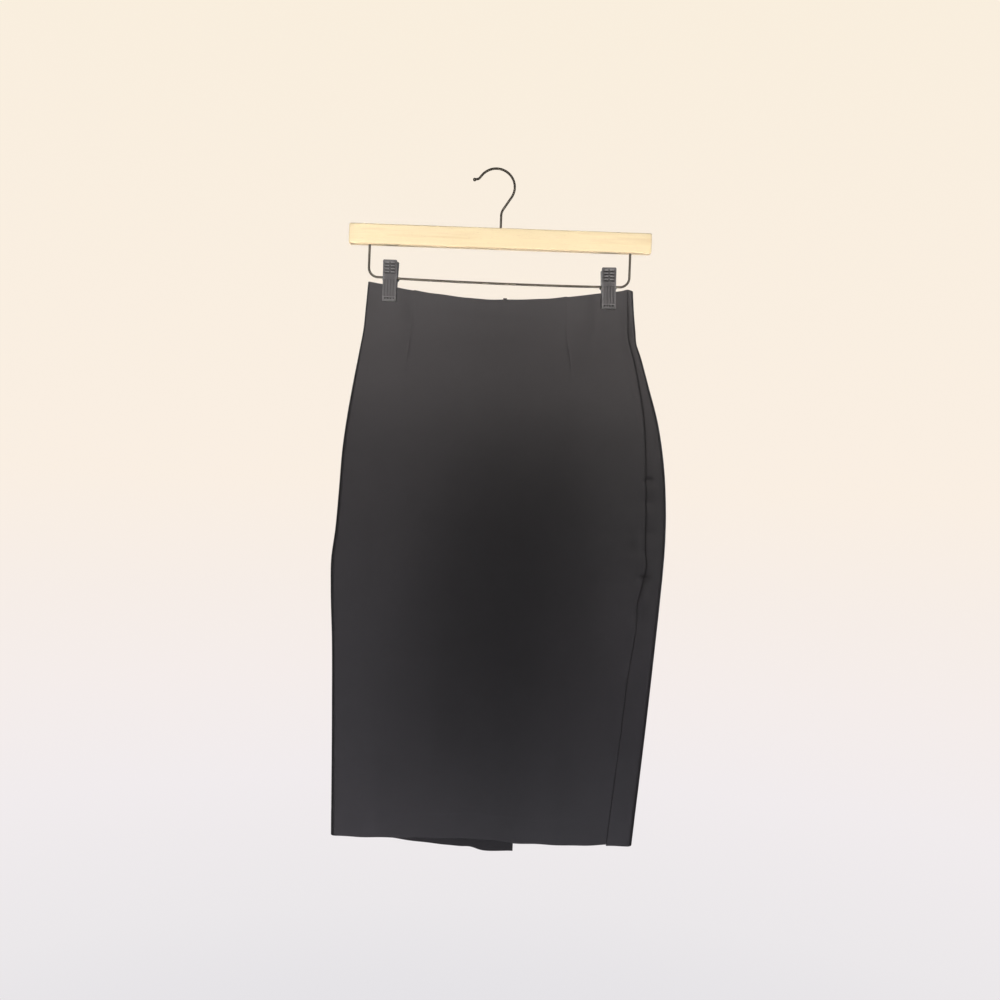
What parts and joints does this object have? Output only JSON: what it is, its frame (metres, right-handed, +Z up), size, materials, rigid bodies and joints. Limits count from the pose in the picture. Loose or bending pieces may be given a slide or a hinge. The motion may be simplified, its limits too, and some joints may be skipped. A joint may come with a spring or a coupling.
{
  "type": "pencil skirt on a clip hanger",
  "caption": "Plain black knit pencil skirt with front darts, side seams, and a zip and a vent at the back, clipped to a flat wooden skirt hanger with a wire hook.",
  "frame": {"origin": "the hook's seat: the underside of its wire at the top of the bend, where a nail or a rod carries it", "axes": "+Z up; X along the hanger's bar; -Y out of the skirt's front"},
  "size_m": [0.3894, 0.0282, 0.8074],
  "materials": {
    "black_cloth": "matte double knit",
    "zip_tape": "woven tape",
    "zip_metal": "black enamel",
    "pale_wood": "clear matt varnish",
    "dark_wire": "dark plated, satin",
    "black_plastic": "moulded, satin",
    "spring_steel": "bright"
  },
  "bodies": {
    "skirt": {"front_panel": "black_cloth", "back_panel_left": "black_cloth", "back_panel_right": "black_cloth", "zip_tape": "zip_tape", "zip_slider": "zip_metal", "hanger_bar": "pale_wood", "hook": "dark_wire", "clip_rail": "dark_wire", "clip_right_front_jaw": "black_plastic", "clip_right_back_jaw": "black_plastic", "clip_right_spring": "spring_steel", "clip_left_front_jaw": "black_plastic", "clip_left_back_jaw": "black_plastic", "clip_left_spring": "spring_steel"},
    "zip_pull": {"zip_pull": "zip_metal"}
  },
  "joints": [
    {"name": "zip_pull_swing", "type": "hinge", "parent": "skirt", "child": "zip_pull", "pos_m": [0.01513, 0.0078, -0.15512], "axis": [1, 0, 0], "range_deg": [-6, 186]}
  ]
}
